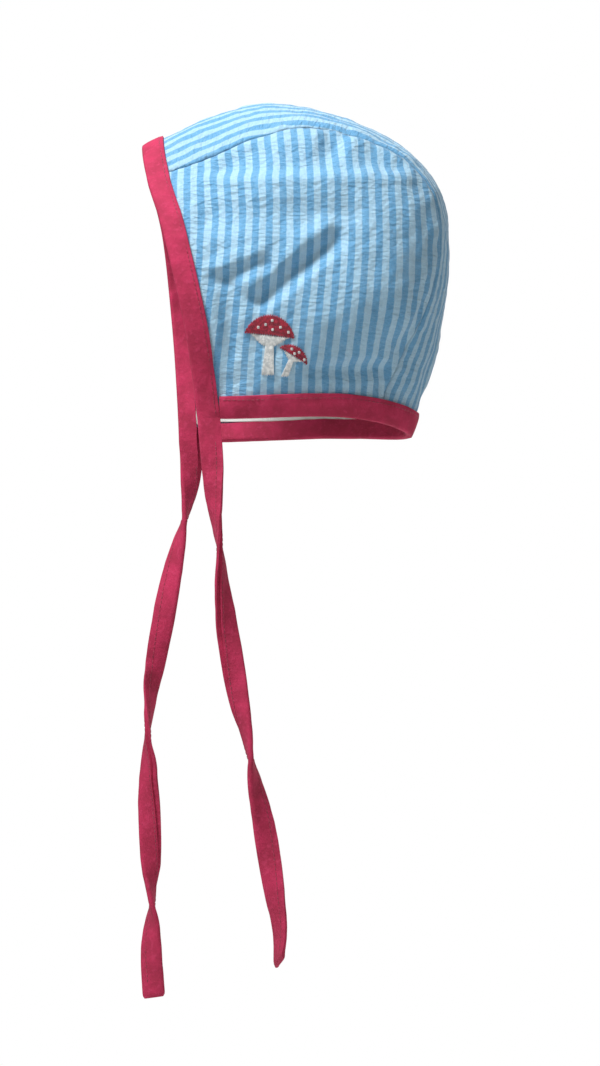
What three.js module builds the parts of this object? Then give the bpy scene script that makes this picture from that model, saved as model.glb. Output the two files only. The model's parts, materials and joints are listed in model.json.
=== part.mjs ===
// A baby's tie-on bonnet of striped cotton: two side panels, a centre panel that runs from the
// forehead over the crown to the nape, a plain lining, a folded tape binding round the face and
// another round the neck, and two twisted ties that run on from the face binding.
//
// Millimetres. +Z is up, -X is the face side, -Y is the wearer's left.
// The origin is the point where the top of the head touches the lining.

import * as THREE from 'three';

// Thicknesses and the small clearance between neighbouring layers
const CLOTH = 1.0;
const LINING = 1.0;
const LEAF = 1.0;
const GAP = 0.35;

// The folded tape of the bindings and the ties
const TAPE_WIDTH = 12.5;
const TAPE_CROWN = 0.3;
const TAPE_ROUND = 0.8;
const TIE_THICKNESS = 3.0;
const TIE_ROUND = 2.5;
const TIE_TIP = 0.7;

// Signs of the wearer's two sides
const LEFT = -1;
const RIGHT = 1;

// The two lower front corners, where the face edge, the neck edge and a tie meet
const JAW = { x: -45.2, z: -177.3, halfWidth: 46 };

// The soft shell hangs a little askew: below startZ the wearer's right side
// comes forward and down, and the left side goes back and up
const SWAY = { forward: 6.1, down: 5.3, startZ: -45, height: 130, power: 1.1 };

// The two bound edges, as angles about the line through the jaw corners. reach is 0 in the middle
// of the centre panel, 1 at a seam and 2 at a jaw corner
const FACE_EDGE = {
  inward: 1,
  line: [
    { reach: 0, angle: -9.2 },
    { reach: 1, angle: -9.0 },
    { reach: 1.2, angle: -7.6 },
    { reach: 1.45, angle: -6.5 },
    { reach: 1.7, angle: -5.2 },
    { reach: 2, angle: -4.4 },
  ],
};
const NECK_EDGE = {
  inward: -1,
  line: [
    { reach: 0, angle: 92.0 },
    { reach: 0.5, angle: 91.4 },
    { reach: 1, angle: 90.1 },
    { reach: 1.25, angle: 89.1 },
    { reach: 1.6, angle: 89.5 },
    { reach: 2, angle: 92.0 },
  ],
};

// Sections through both jaw corners, like the ribs of a folding hood. angle is measured from
// straight up towards the back; crown is the reach to the middle of the centre panel; drop is how
// far the seams lie below it; seamHalf and bellyHalf are half widths at the seams and at the
// fullest part of the sides; shoulder is how squarely a side turns in to its seam
const RIBS = [
  { angle: -9.2, crown: 156.3, drop: 17.0, seamHalf: 33.0, bellyHalf: 56.0, shoulder: 2.4 },
  { angle: -4, crown: 162.0, drop: 22.0, seamHalf: 34.5, bellyHalf: 57.5, shoulder: 2.3 },
  { angle: 4, crown: 172.4, drop: 25.5, seamHalf: 36.0, bellyHalf: 59.0, shoulder: 2.2 },
  { angle: 12, crown: 183.6, drop: 23.5, seamHalf: 37.0, bellyHalf: 60.5, shoulder: 2.4 },
  { angle: 16, crown: 187.0, drop: 19.5, seamHalf: 37.0, bellyHalf: 61.0, shoulder: 2.7 },
  { angle: 20, crown: 189.0, drop: 14.7, seamHalf: 37.0, bellyHalf: 61.5, shoulder: 3.2 },
  { angle: 28, crown: 192.4, drop: 10.5, seamHalf: 37.5, bellyHalf: 62.0, shoulder: 4.0 },
  { angle: 38, crown: 195.3, drop: 7.0, seamHalf: 37.5, bellyHalf: 62.0, shoulder: 4.4 },
  { angle: 46, crown: 191.4, drop: 5.2, seamHalf: 37.0, bellyHalf: 61.5, shoulder: 4.4 },
  { angle: 50, crown: 185.6, drop: 6.0, seamHalf: 36.5, bellyHalf: 60.8, shoulder: 4.2 },
  { angle: 54, crown: 177.2, drop: 7.2, seamHalf: 36.0, bellyHalf: 60.0, shoulder: 4.0 },
  { angle: 62, crown: 161.3, drop: 12.0, seamHalf: 35.0, bellyHalf: 57.0, shoulder: 3.4 },
  { angle: 70, crown: 145.4, drop: 20.0, seamHalf: 34.0, bellyHalf: 53.0, shoulder: 2.4 },
  { angle: 80, crown: 131.4, drop: 24.3, seamHalf: 33.0, bellyHalf: 49.0, shoulder: 2.2 },
  { angle: 92, crown: 121.0, drop: 23.0, seamHalf: 32.0, bellyHalf: 45.5, shoulder: 2.2 },
];
const BELLY_SHARE = 0.5;
const CHEEK_POWER = 1.6;
const ARCH_POWER = 2;

// Soft folds of the side panels, each along a line seen from the side: half is its half width,
// and height is how far it stands out, or sinks in where it is negative
const SIDE_FOLDS = [
  { name: 'upper hollow', x0: -22, z0: -34, x1: 71, z1: -31, half: 14, height: -2.5 },
  { name: 'press crease', x0: -32, z0: -43, x1: 74, z1: -41, half: 7, height: 1.3 },
  { name: 'middle hollow', x0: -30, z0: -64, x1: 44, z1: -61, half: 14, height: -2.0 },
  { name: 'drag line ridge', x0: -37, z0: -93, x1: -4, z1: -82, half: 7, height: 1.5 },
  { name: 'drag line dent', x0: -37, z0: -101, x1: -2, z1: -90, half: 7, height: -1.5 },
  { name: 'slanting ridge', x0: -10, z0: -100, x1: 30, z1: -70, half: 9, height: 1.6 },
  { name: 'slanting dent', x0: -4, z0: -108, x1: 36, z1: -76, half: 9, height: -3.0 },
  { name: 'front dent', x0: -23, z0: -102, x1: -22, z1: -136, half: 9, height: -1.6 },
  { name: 'belly swell', x0: 25, z0: -112, x1: 62, z1: -104, half: 34, height: 2.5 },
  { name: 'hem dent', x0: 25, z0: -147, x1: 60, z1: -145, half: 8, height: -2.2 },
  { name: 'nape drag', x0: 62, z0: -157, x1: 86, z1: -112, half: 8, height: -2.0 },
];

// Gathers where the fuller side panel is eased into the crown seam
const GATHERS = [
  { angle: 18.5, spread: 1.7, height: 1.3 },
  { angle: 23.0, spread: 1.8, height: 1.7 },
  { angle: 27.2, spread: 1.6, height: -2.6 },
  { angle: 31.0, spread: 1.8, height: 1.8 },
  { angle: 36.0, spread: 1.9, height: 1.2 },
  { angle: 51.5, spread: 1.8, height: 1.3 },
  { angle: 56.5, spread: 1.8, height: 1.2 },
];
const GATHER_LENGTH = 26;

// The centre panel: a soft roll beside each seam over the crown, and lengthwise folds at the nape
const ROLL = { height: 1.5, middleAngle: 25, spread: 11, across: 0.8, width: 0.2 };
const NAPE_FOLDS = { height: 1.8, waves: 1.5, startAngle: 60, endAngle: 84 };

// How far the lining hangs clear of the panels
const LINING_SLACK = { side: 4.2, centre: 0.2 };

// Routes of the ties below the jaw corners. turn is the twist of the flat tape in degrees
const LEFT_TIE_ROUTE = [
  { x: -31.2, y: -46.0, z: -190, turn: 6 },
  { x: -29.8, y: -46.0, z: -210, turn: 36 },
  { x: -28.3, y: -45.6, z: -226, turn: 62 },
  { x: -26.7, y: -45.0, z: -243, turn: 90 },
  { x: -25.4, y: -44.4, z: -262, turn: 118 },
  { x: -23.0, y: -44.0, z: -282, turn: 146 },
  { x: -19.2, y: -43.6, z: -308, turn: 180 },
  { x: -15.8, y: -43.4, z: -328, turn: 212 },
  { x: -12.1, y: -43.2, z: -345, turn: 246 },
  { x: -9.8, y: -43.0, z: -357, turn: 272 },
  { x: -7.8, y: -42.8, z: -370, turn: 298 },
  { x: -3.8, y: -42.6, z: -388, turn: 326 },
  { x: 0.0, y: -42.4, z: -410, turn: 360 },
  { x: 3.5, y: -42.2, z: -432, turn: 392 },
  { x: 5.9, y: -42.0, z: -450, turn: 416 },
  { x: 5.5, y: -42.0, z: -466, turn: 428 },
];
const RIGHT_TIE_ROUTE = [
  { x: -44.5, y: 46.0, z: -193, turn: -6 },
  { x: -45.3, y: 46.0, z: -210, turn: -45 },
  { x: -48.2, y: 45.6, z: -226, turn: -88 },
  { x: -51.8, y: 45.0, z: -242, turn: -122 },
  { x: -56.1, y: 44.4, z: -262, turn: -150 },
  { x: -60.3, y: 44.0, z: -284, turn: -180 },
  { x: -64.3, y: 43.6, z: -305, turn: -206 },
  { x: -67.5, y: 43.4, z: -325, turn: -236 },
  { x: -68.8, y: 43.2, z: -345, turn: -270 },
  { x: -68.7, y: 43.0, z: -360, turn: -300 },
  { x: -68.5, y: 42.8, z: -378, turn: -330 },
  { x: -67.5, y: 42.6, z: -400, turn: -360 },
  { x: -66.8, y: 42.4, z: -420, turn: -394 },
  { x: -66.3, y: 42.2, z: -439, turn: -446 },
  { x: -66.3, y: 42.0, z: -455, turn: -488 },
  { x: -66.3, y: 42.0, z: -472, turn: -516 },
  { x: -65.2, y: 42.0, z: -493.5, turn: -540 },
];

// How finely each piece is faceted
const STEPS = {
  panelAngle: 44,
  panelShare: 13,
  centreAngle: 42,
  centreAcross: 8,
  liningAngle: 15,
  liningShare: 7,
  liningAcross: 8,
  bindingShare: 16,
  bindingAcross: 8,
  tie: 38,
};

// The panels begin this far from the jaw corner, hidden inside the bindings
const PANEL_START = 14;
const LINING_START = 18.5;

const STRIPED = new THREE.MeshStandardMaterial({ color: 0x7fb6dc, roughness: 0.9, metalness: 0 });
const PLAIN = new THREE.MeshStandardMaterial({ color: 0xe6e6dd, roughness: 0.9, metalness: 0 });
const RASPBERRY = new THREE.MeshStandardMaterial({ color: 0xb5254f, roughness: 0.85, metalness: 0 });

const radians = THREE.MathUtils.degToRad;
const degrees = THREE.MathUtils.radToDeg;
const mix = THREE.MathUtils.lerp;
const smoothstep = THREE.MathUtils.smoothstep;
const clamp = THREE.MathUtils.clamp;

// A value of a table at one place, on a smooth curve through its rows
function readTable(rows, key, at, column) {
  let i = rows.findIndex((row) => row[key] > at) - 1;
  if (i === -2) i = rows.length - 2;
  i = clamp(i, 0, rows.length - 2);
  const place = (n) => rows[clamp(n, 0, rows.length - 1)];
  const slope = (n) => {
    const before = place(n - 1);
    const after = place(n + 1);
    return (after[column] - before[column]) / (after[key] - before[key]);
  };
  const [from, to] = [rows[i], rows[i + 1]];
  const span = to[key] - from[key];
  const t = clamp((at - from[key]) / span, 0, 1);
  const bend = t * t * (3 - 2 * t);
  return mix(from[column], to[column], bend)
    + span * (slope(i) * t * (1 - t) * (1 - t) - slope(i + 1) * t * t * (1 - t));
}

const rib = (angle, column) => readTable(RIBS, 'angle', angle, column);
const seamReach = (angle) => rib(angle, 'crown') - rib(angle, 'drop');

// Half width of a side panel at a share of the way from the jaw corner to the seam
function sideHalfWidth(angle, share) {
  const belly = rib(angle, 'bellyHalf');
  if (share <= BELLY_SHARE) {
    return mix(JAW.halfWidth, belly, Math.sin((Math.PI / 2) * (share / BELLY_SHARE)) ** CHEEK_POWER);
  }
  const turn = ((share - BELLY_SHARE) / (1 - BELLY_SHARE)) ** rib(angle, 'shoulder');
  return mix(belly, rib(angle, 'seamHalf'), turn);
}

// The smooth cloth before any folds. angle picks the rib, and across runs along it:
// -2 is the left jaw corner, -1 the left seam, 1 the right seam and 2 the right jaw corner
function smoothCloth(angle, across) {
  const reach = Math.abs(across);
  let away;
  let y;
  if (reach <= 1) {
    away = rib(angle, 'crown') - rib(angle, 'drop') * reach ** ARCH_POWER;
    y = rib(angle, 'seamHalf') * across;
  } else {
    away = seamReach(angle) * (2 - reach);
    y = Math.sign(across) * sideHalfWidth(angle, 2 - reach);
  }
  const x = JAW.x + away * Math.sin(radians(angle));
  const z = JAW.z + away * Math.cos(radians(angle));
  const lean = (Math.max(0, SWAY.startZ - z) / SWAY.height) ** SWAY.power * (y / JAW.halfWidth);
  return new THREE.Vector3(x - SWAY.forward * lean, y, z - SWAY.down * lean);
}

// The outward normal of the smooth cloth, read a little inside the panel that the point belongs to
function clothNormal(angle, across) {
  const turn = 0.5;
  const step = 0.02;
  const reach = Math.abs(across);
  const inside = reach <= 1 ? Math.min(reach, 1 - step) : clamp(reach, 1 + step, 2 - step);
  const kept = Math.sign(across) * inside;
  const alongEdge = smoothCloth(angle + turn, kept).sub(smoothCloth(angle - turn, kept));
  const alongRib = smoothCloth(angle, kept + step).sub(smoothCloth(angle, kept - step));
  return alongEdge.cross(alongRib).normalize();
}

// A rounded ridge profile: 1 on its line, 0 at its half width and beyond
const ridge = (distance, half) => Math.max(0, 1 - (distance / half) ** 2) ** 2;

function distanceToLine(x, z, fold) {
  const [dx, dz] = [fold.x1 - fold.x0, fold.z1 - fold.z0];
  const t = clamp(((x - fold.x0) * dx + (z - fold.z0) * dz) / (dx * dx + dz * dz), 0, 1);
  return Math.hypot(x - fold.x0 - t * dx, z - fold.z0 - t * dz);
}

// The angle of a bound edge where a rib coordinate meets it
const edgeAngle = (edge, across) => readTable(edge.line, 'reach', Math.abs(across), 'angle');

// How free the cloth is of the bindings: 0 under them, 1 a tape's width further in
function freedom(angle, across) {
  const away = seamReach(angle) * Math.min(1, 2 - Math.abs(across));
  const fromFace = away * Math.sin(radians(clamp(angle - edgeAngle(FACE_EDGE, across), 0, 90)));
  const fromNeck = away * Math.sin(radians(clamp(edgeAngle(NECK_EDGE, across) - angle, 0, 90)));
  return smoothstep(Math.min(fromFace, fromNeck), TAPE_WIDTH, 2 * TAPE_WIDTH);
}

// How far the folds lift a side panel. They fade out at the seam and where the bindings hold it
function sideFolds(angle, across, point) {
  const fromSeam = seamReach(angle) * (Math.abs(across) - 1);
  const free = freedom(angle, across) * smoothstep(fromSeam, 0, 9);
  let lift = 0;
  for (const fold of SIDE_FOLDS) {
    lift += free * fold.height * ridge(distanceToLine(point.x, point.z, fold), fold.half);
  }
  const fade = smoothstep(fromSeam, 0, 3) * (1 - smoothstep(fromSeam, 4, GATHER_LENGTH));
  for (const gather of GATHERS) {
    lift += fade * gather.height * ridge(angle - gather.angle, 2 * gather.spread);
  }
  return lift;
}

function centreFolds(angle, across) {
  const beside = ridge(Math.abs(across) - ROLL.across, ROLL.width);
  const roll = ROLL.height * beside * ridge(angle - ROLL.middleAngle, ROLL.spread);
  const nape = NAPE_FOLDS.height * Math.cos(Math.PI * NAPE_FOLDS.waves * across) ** 2 * (1 - across * across)
    * smoothstep(angle, NAPE_FOLDS.startAngle, (NAPE_FOLDS.startAngle + NAPE_FOLDS.endAngle) / 2)
    * (1 - smoothstep(angle, NAPE_FOLDS.endAngle - 8, NAPE_FOLDS.endAngle));
  return roll + nape;
}

// A point of the folded cloth, standing out of its outer face by height
function cloth(angle, across, height) {
  const point = smoothCloth(angle, across);
  const lift = Math.abs(across) <= 1 ? centreFolds(angle, across) : sideFolds(angle, across, point);
  return point.addScaledVector(clothNormal(angle, across), lift + height);
}

// A point at a distance in from a bound edge. Beside the jaw corner the distance is square to the
// edge, and towards the seam the point keeps its share of the rib
function inFromEdge(edge, across, inset, height) {
  const angle = edgeAngle(edge, across);
  const reach = Math.abs(across);
  if (reach < 1) {
    const away = rib(angle, 'crown') - rib(angle, 'drop') * reach ** ARCH_POWER;
    return cloth(angle + edge.inward * degrees(Math.atan2(inset, away)), across, height);
  }
  const share = 2 - reach;
  const along = share * seamReach(angle);
  const turned = angle + edge.inward * degrees(Math.atan2(inset, along));
  const square = Math.hypot(along, inset) / seamReach(turned);
  const kept = mix(square, share, smoothstep(share, 0.3, 1));
  return cloth(turned, Math.sign(across) * (2 - kept), height);
}

// A closed solid from positions and triangles, turned so that its faces point outwards
function solid(points, triangles, material, name) {
  let volume = 0;
  for (const [a, b, c] of triangles) {
    volume += points[a].dot(new THREE.Vector3().crossVectors(points[b], points[c]));
  }
  const outward = volume > 0 ? triangles : triangles.map(([a, b, c]) => [a, c, b]);
  const geometry = new THREE.BufferGeometry().setFromPoints(points);
  geometry.setIndex(outward.flat());
  geometry.computeVertexNormals();
  const mesh = new THREE.Mesh(geometry, material.clone());
  mesh.name = name;
  return mesh;
}

// A wall of cloth between two faces, each a grid of points of the same size
function wall(outer, inner, material, name) {
  const [rows, columns] = [outer.length, outer[0].length];
  const points = [...outer.flat(), ...inner.flat()];
  const back = rows * columns;
  const at = (i, j) => i * columns + j;
  const triangles = [];
  const quad = (a, b, c, d) => triangles.push([a, b, c], [a, c, d]);
  for (let i = 0; i + 1 < rows; i += 1) {
    for (let j = 0; j + 1 < columns; j += 1) {
      const face = [at(i, j), at(i + 1, j), at(i + 1, j + 1), at(i, j + 1)];
      quad(...face);
      quad(...face.reverse().map((n) => n + back));
    }
  }
  const rim = (a, b) => quad(b, a, a + back, b + back);
  for (let i = 0; i + 1 < rows; i += 1) {
    rim(at(i, 0), at(i + 1, 0));
    rim(at(i + 1, columns - 1), at(i, columns - 1));
  }
  for (let j = 0; j + 1 < columns; j += 1) {
    rim(at(0, j + 1), at(0, j));
    rim(at(rows - 1, j), at(rows - 1, j + 1));
  }
  return solid(points, triangles, material, name);
}

// A solid swept through rings of points that all have the shape of one flat section
function sweep(rings, section, material, name) {
  const count = section.length;
  const points = rings.flat();
  const triangles = [];
  for (let i = 0; i + 1 < rings.length; i += 1) {
    for (let j = 0; j < count; j += 1) {
      const next = (j + 1) % count;
      const [a, b] = [i * count + j, i * count + next];
      triangles.push([a, b, b + count], [a, b + count, a + count]);
    }
  }
  const last = (rings.length - 1) * count;
  for (const [a, b, c] of THREE.ShapeUtils.triangulateShape(section, [])) {
    triangles.push([a, c, b], [last + a, last + b, last + c]);
  }
  return solid(points, triangles, material, name);
}

const spaced = (from, to, steps) => Array.from({ length: steps + 1 }, (_, i) => mix(from, to, i / steps));

// The lining hangs smooth, clear of the folds of the panels round it
function slackLining(angle, across, height) {
  const slack = mix(LINING_SLACK.centre, LINING_SLACK.side, smoothstep(Math.abs(across), 0.9, 1.2));
  const sunk = height - slack * freedom(angle, across);
  return smoothCloth(angle, across).addScaledVector(clothNormal(angle, across), sunk);
}

// Lines from the face edge to the neck edge. On a side panel, place 0 is the seam and place 1 is an
// arc about the jaw corner at the distance start
const sideLine = (side, place, start) => (angle) => side * (1 + place * (1 - start / seamReach(angle)));
const centreLine = (across) => () => across;

// One face of a cloth wall made of such lines, set in from both edges by inset
function clothFace(surface, lines, angleSteps, inset, height) {
  return lines.map((line) => {
    const setIn = (edge) => {
      const across = line(edge.line.at(-1).angle);
      const angle = edgeAngle(edge, across);
      const away = seamReach(angle) * Math.min(1, 2 - Math.abs(across));
      return angle + edge.inward * degrees(Math.asin(inset / away));
    };
    const angles = spaced(setIn(FACE_EDGE), setIn(NECK_EDGE), angleSteps);
    return angles.map((angle) => surface(angle, line(angle), height));
  });
}

const SEAM_SPLIT = GAP / 2 / rib(0, 'seamHalf');
const EDGE_INSET = LEAF + GAP;

function sidePanel(side, name) {
  const lines = spaced(1, SEAM_SPLIT, STEPS.panelShare).map((place) => sideLine(side, place, PANEL_START));
  const face = (height) => clothFace(cloth, lines, STEPS.panelAngle, EDGE_INSET, height);
  return wall(face(0), face(-CLOTH), STRIPED, name);
}

function centrePanel() {
  const lines = spaced(-1 + SEAM_SPLIT, 1 - SEAM_SPLIT, STEPS.centreAcross).map(centreLine);
  const face = (height) => clothFace(cloth, lines, STEPS.centreAngle, EDGE_INSET, height);
  return wall(face(0), face(-CLOTH), STRIPED, 'centre_panel');
}

// One plain layer inside all three panels, between the inner leaves of the bindings
function lining() {
  const places = spaced(0, 1, STEPS.liningShare);
  const lines = [
    ...[...places].reverse().map((place) => sideLine(LEFT, place, LINING_START)),
    ...spaced(-1, 1, STEPS.liningAcross).slice(1, -1).map(centreLine),
    ...places.map((place) => sideLine(RIGHT, place, LINING_START)),
  ];
  const inset = TAPE_WIDTH + 2 * GAP;
  const face = (height) => clothFace(slackLining, lines, STEPS.liningAngle, inset, height);
  return wall(face(-CLOTH - GAP), face(-CLOTH - GAP - LINING), PLAIN, 'lining');
}

// Section of a folded tape round an edge: x is the distance in from the edge, y the height over
// the outer face of the cloth. The slot between the leaves takes the edge of the panel
function bindingSection() {
  const top = GAP + LEAF;
  const under = -CLOTH - GAP;
  const bottom = under - LEAF;
  return [
    [TAPE_WIDTH, GAP],
    [TAPE_WIDTH, top],
    [TAPE_WIDTH / 2, top + TAPE_CROWN],
    [TAPE_ROUND, top],
    [0, top - TAPE_ROUND],
    [0, bottom + TAPE_ROUND],
    [TAPE_ROUND, bottom],
    [TAPE_WIDTH / 2, bottom],
    [TAPE_WIDTH, bottom],
    [TAPE_WIDTH, under],
    [TAPE_WIDTH / 2, under],
    [LEAF, under],
    [LEAF, GAP],
    [TAPE_WIDTH / 2, GAP],
  ].map(([x, y]) => new THREE.Vector2(x, y));
}

function binding(edge, start, name) {
  const section = bindingSection();
  const side = spaced(2 - start, 1, STEPS.bindingShare);
  const middle = spaced(-1, 1, STEPS.bindingAcross).slice(1, -1);
  const across = [...side.map((reach) => -reach), ...middle, ...[...side].reverse()];
  const rings = across.map((place) => section.map((p) => inFromEdge(edge, place, p.x, p.y)));
  return sweep(rings, section, RASPBERRY, name);
}

// Each end of the neck binding stops beside the face binding, which covers the corner
function neckBinding() {
  const corner = NECK_EDGE.line.at(-1).angle;
  const start = (TAPE_WIDTH + 3 * GAP) / seamReach(corner);
  return binding(NECK_EDGE, start, 'neck_binding');
}

// Section of a tie: the tape folded flat, with soft edges
function tieSection() {
  const [w, t] = [TAPE_WIDTH / 2, TIE_THICKNESS / 2];
  const shoulder = w - TAPE_ROUND;
  const edge = t - TAPE_ROUND;
  const half = [[-w, -edge], [-shoulder, -t], [0, -t], [shoulder, -t], [w, -edge]];
  const otherHalf = half.map(([x, y]) => [-x, -y]);
  return [...half, ...otherHalf].map(([x, y]) => new THREE.Vector2(x, y));
}

// A tie starts square under the lower end of the face binding and follows its route
function tie(side, route, name) {
  const middleHeight = -CLOTH / 2;
  const corner = (inset) => inFromEdge(FACE_EDGE, side * 2, inset, middleHeight);
  const tapeAcross = corner(TAPE_WIDTH).sub(corner(0)).normalize();
  const outward = clothNormal(edgeAngle(FACE_EDGE, side * 2), side * 1.9);
  const downward = new THREE.Vector3().crossVectors(outward, tapeAcross).normalize();
  if (downward.z > 0) downward.negate();
  const start = corner(TAPE_WIDTH / 2).addScaledVector(downward, GAP);
  const line = new THREE.CatmullRomCurve3([
    start,
    start.clone().addScaledVector(downward, TAPE_WIDTH / 2),
    ...route.map((row) => new THREE.Vector3(row.x, row.y, row.z)),
  ], false, 'centripetal');
  const turns = [{ z: -start.z, turn: 0 }, ...route.map((row) => ({ z: -row.z, turn: row.turn }))];
  const section = tieSection();
  const stations = [...spaced(0, 1, STEPS.tie).slice(0, -1), 1 - TIE_ROUND / line.getLength(), 1];
  const rings = stations.map((t) => {
    const centre = line.getPointAt(t);
    const along = t === 0 ? downward : line.getTangentAt(t);
    const width = tapeAcross.clone().addScaledVector(along, -tapeAcross.dot(along)).normalize();
    width.applyAxisAngle(along, radians(readTable(turns, 'z', -centre.z, 'turn')));
    const thick = new THREE.Vector3().crossVectors(along, width);
    width.multiplyScalar(t === 1 ? TIE_TIP : 1);
    return section.map((p) => centre.clone().addScaledVector(width, p.x).addScaledVector(thick, p.y));
  });
  return sweep(rings, section, RASPBERRY, name);
}

const bonnet = new THREE.Group();
bonnet.name = 'bonnet';
bonnet.add(
  sidePanel(LEFT, 'left_panel'),
  sidePanel(RIGHT, 'right_panel'),
  centrePanel(),
  lining(),
  binding(FACE_EDGE, 0, 'face_binding'),
  neckBinding(),
  tie(LEFT, LEFT_TIE_ROUTE, 'left_tie'),
  tie(RIGHT, RIGHT_TIE_ROUTE, 'right_tie'),
);

export default bonnet;
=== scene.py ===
import json
import math

import bpy
import numpy as np
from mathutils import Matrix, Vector

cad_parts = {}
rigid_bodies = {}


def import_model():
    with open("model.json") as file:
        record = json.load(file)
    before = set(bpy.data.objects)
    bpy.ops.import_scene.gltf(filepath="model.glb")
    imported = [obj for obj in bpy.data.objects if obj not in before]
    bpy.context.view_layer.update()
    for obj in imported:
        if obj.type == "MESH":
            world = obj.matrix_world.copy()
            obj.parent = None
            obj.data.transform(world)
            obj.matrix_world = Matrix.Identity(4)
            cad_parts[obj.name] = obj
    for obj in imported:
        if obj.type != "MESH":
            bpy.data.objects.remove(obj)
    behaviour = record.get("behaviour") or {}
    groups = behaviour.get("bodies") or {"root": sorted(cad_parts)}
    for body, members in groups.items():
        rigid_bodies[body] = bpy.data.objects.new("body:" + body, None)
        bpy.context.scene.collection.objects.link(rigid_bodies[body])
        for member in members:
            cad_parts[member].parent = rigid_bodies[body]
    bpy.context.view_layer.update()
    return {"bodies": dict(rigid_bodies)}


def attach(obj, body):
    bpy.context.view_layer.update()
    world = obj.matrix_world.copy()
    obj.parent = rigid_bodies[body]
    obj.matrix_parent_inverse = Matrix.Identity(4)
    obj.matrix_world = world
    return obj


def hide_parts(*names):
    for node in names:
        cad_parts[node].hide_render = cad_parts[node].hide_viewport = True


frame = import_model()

# A baby's tie-on bonnet: striped crinkled cotton, raspberry tape bindings, twisted ties and toadstools.
# Lengths are in millimetres until a mesh is made, and in metres from there on.
BODY = next(iter(frame["bodies"]))
MM = 0.001

# Layers of cloth and tape
GAP = 0.35
CLOTH = 1.0
SHEET_THICKNESS = 0.9
LEAF = 1.0
TAPE = 12.5
INNER_LEAF = 10.0
TIE_THICKNESS = 2.7
LEFT, RIGHT = -1, 1

# The camera: how far it stands from the middle plane, the height it takes in there, and what it looks at
CAMERA_DISTANCE = 2400.0
VIEW_HEIGHT = 586.3
VIEW_CENTRE = (16.5, -233.65)

# Lower front corners of the bonnet, and how the cloth hangs askew below a height
JAW_X, JAW_Z, JAW_HALF = -45.2, -177.3, 46.0
SWAY_FORWARD, SWAY_DOWN, SWAY_START, SWAY_HEIGHT, SWAY_POWER = 6.1, 5.3, -45.0, 130.0, 1.1

# Sections through both jaw corners: angle, crown reach, seam drop, half widths at seam and belly, shoulder
RIB_COLUMNS = ("angle", "crown", "drop", "seam", "belly", "shoulder")
RIBS = np.array([
    (-9.2, 156.3, 17.0, 33.0, 56.0, 2.4),
    (-4, 162.0, 22.0, 34.5, 57.5, 2.3),
    (4, 172.4, 25.5, 36.0, 59.0, 2.2),
    (12, 183.6, 23.5, 37.0, 60.5, 2.4),
    (16, 187.0, 19.5, 37.0, 61.0, 2.7),
    (20, 189.0, 14.7, 37.0, 61.5, 3.2),
    (28, 192.4, 10.5, 37.5, 62.0, 4.0),
    (38, 195.3, 7.0, 37.5, 62.0, 4.4),
    (46, 191.4, 5.2, 37.0, 61.5, 4.4),
    (50, 185.6, 6.0, 36.5, 60.8, 4.2),
    (54, 177.2, 7.2, 36.0, 60.0, 4.0),
    (62, 161.3, 12.0, 35.0, 57.0, 3.4),
    (70, 145.4, 20.0, 34.0, 53.0, 2.4),
    (80, 131.4, 24.3, 33.0, 49.0, 2.2),
    (92, 121.0, 23.0, 32.0, 45.5, 2.2),
])
BELLY_SHARE = 0.5
CHEEK_POWER = 1.6

# The bound edges: reach across the bonnet (0 middle, 1 seam, 2 jaw corner) and angle there
FACE_EDGE = np.array([(0, -9.2), (1, -9.0), (1.2, -7.6), (1.45, -6.5), (1.7, -5.2), (2, -4.4)])
NECK_EDGE = np.array([(0, 92.0), (0.5, 91.4), (1, 90.1), (1.25, 89.1), (1.6, 89.5), (2, 92.0)])

# Folds of a side panel seen from the side: start x, z, end x, z, half width and height
SIDE_FOLDS = (
    (-22, -34, 71, -31, 14, -2.5),
    (-32, -43, 74, -41, 7, 1.3),
    (-30, -64, 44, -61, 14, -2.0),
    (-37, -93, -4, -82, 7, 1.5),
    (-37, -101, -2, -90, 7, -1.5),
    (-10, -100, 30, -70, 9, 1.6),
    (-4, -108, 36, -76, 9, -3.0),
    (-23, -102, -22, -136, 9, -1.6),
    (25, -112, 62, -104, 34, 2.5),
    (25, -147, 60, -145, 8, -2.2),
    (62, -157, 86, -112, 8, -2.0),
)
# Gathers at the crown seam: angle, spread in degrees and height
GATHERS = (
    (18.5, 1.7, 1.3), (23.0, 1.8, 1.7), (27.2, 1.6, -2.6), (31.0, 1.8, 1.8),
    (36.0, 1.9, 1.2), (51.5, 1.8, 1.3), (56.5, 1.8, 1.2),
)
# How far from the seam the side folds and the gathers set in, and where the gathers fade out
FOLD_RISE, GATHER_RISE, GATHER_FADE = 9, 3, (4, 26)
# The thin cloth folds a little more sharply than the solids
FOLD_GAIN = 1.3

# Folds of the centre panel: a roll beside each seam, and waves across the nape
ROLL_HEIGHT, ROLL_ACROSS, ROLL_WIDTH, ROLL_ANGLE, ROLL_SPREAD = 1.5, 0.8, 0.2, 25, 11
NAPE_HEIGHT, NAPE_WAVES, NAPE_START, NAPE_END = 1.8, 1.5, (60, 72), (76, 84)

# Crinkle of the weave: height, size of the lumps, seed, and squeeze from top to bottom
CRINKLES = ((0.6, 15, 1, 1.0), (0.5, 7, 2, 0.6), (0.34, 3.8, 3, 1.0))
CRINKLE_START = (TAPE - 1.5, TAPE + 3)
PUCKER_HEIGHT, PUCKER_SIZE, PUCKER_SEED, PUCKER_FADE = 0.5, 6, 4, (3, 14)
GROOVE_DEPTH, GROOVE_FADE = 0.9, (0.2, 2.2)

# Numbers that scramble the place of a cell into noise
NOISE_STEPS = np.array([374761393, 668265263, 1103515245])
NOISE_SEED, NOISE_MIX, NOISE_MASK = 974711, 1274126177, 0x7FFFFFFF

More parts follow.
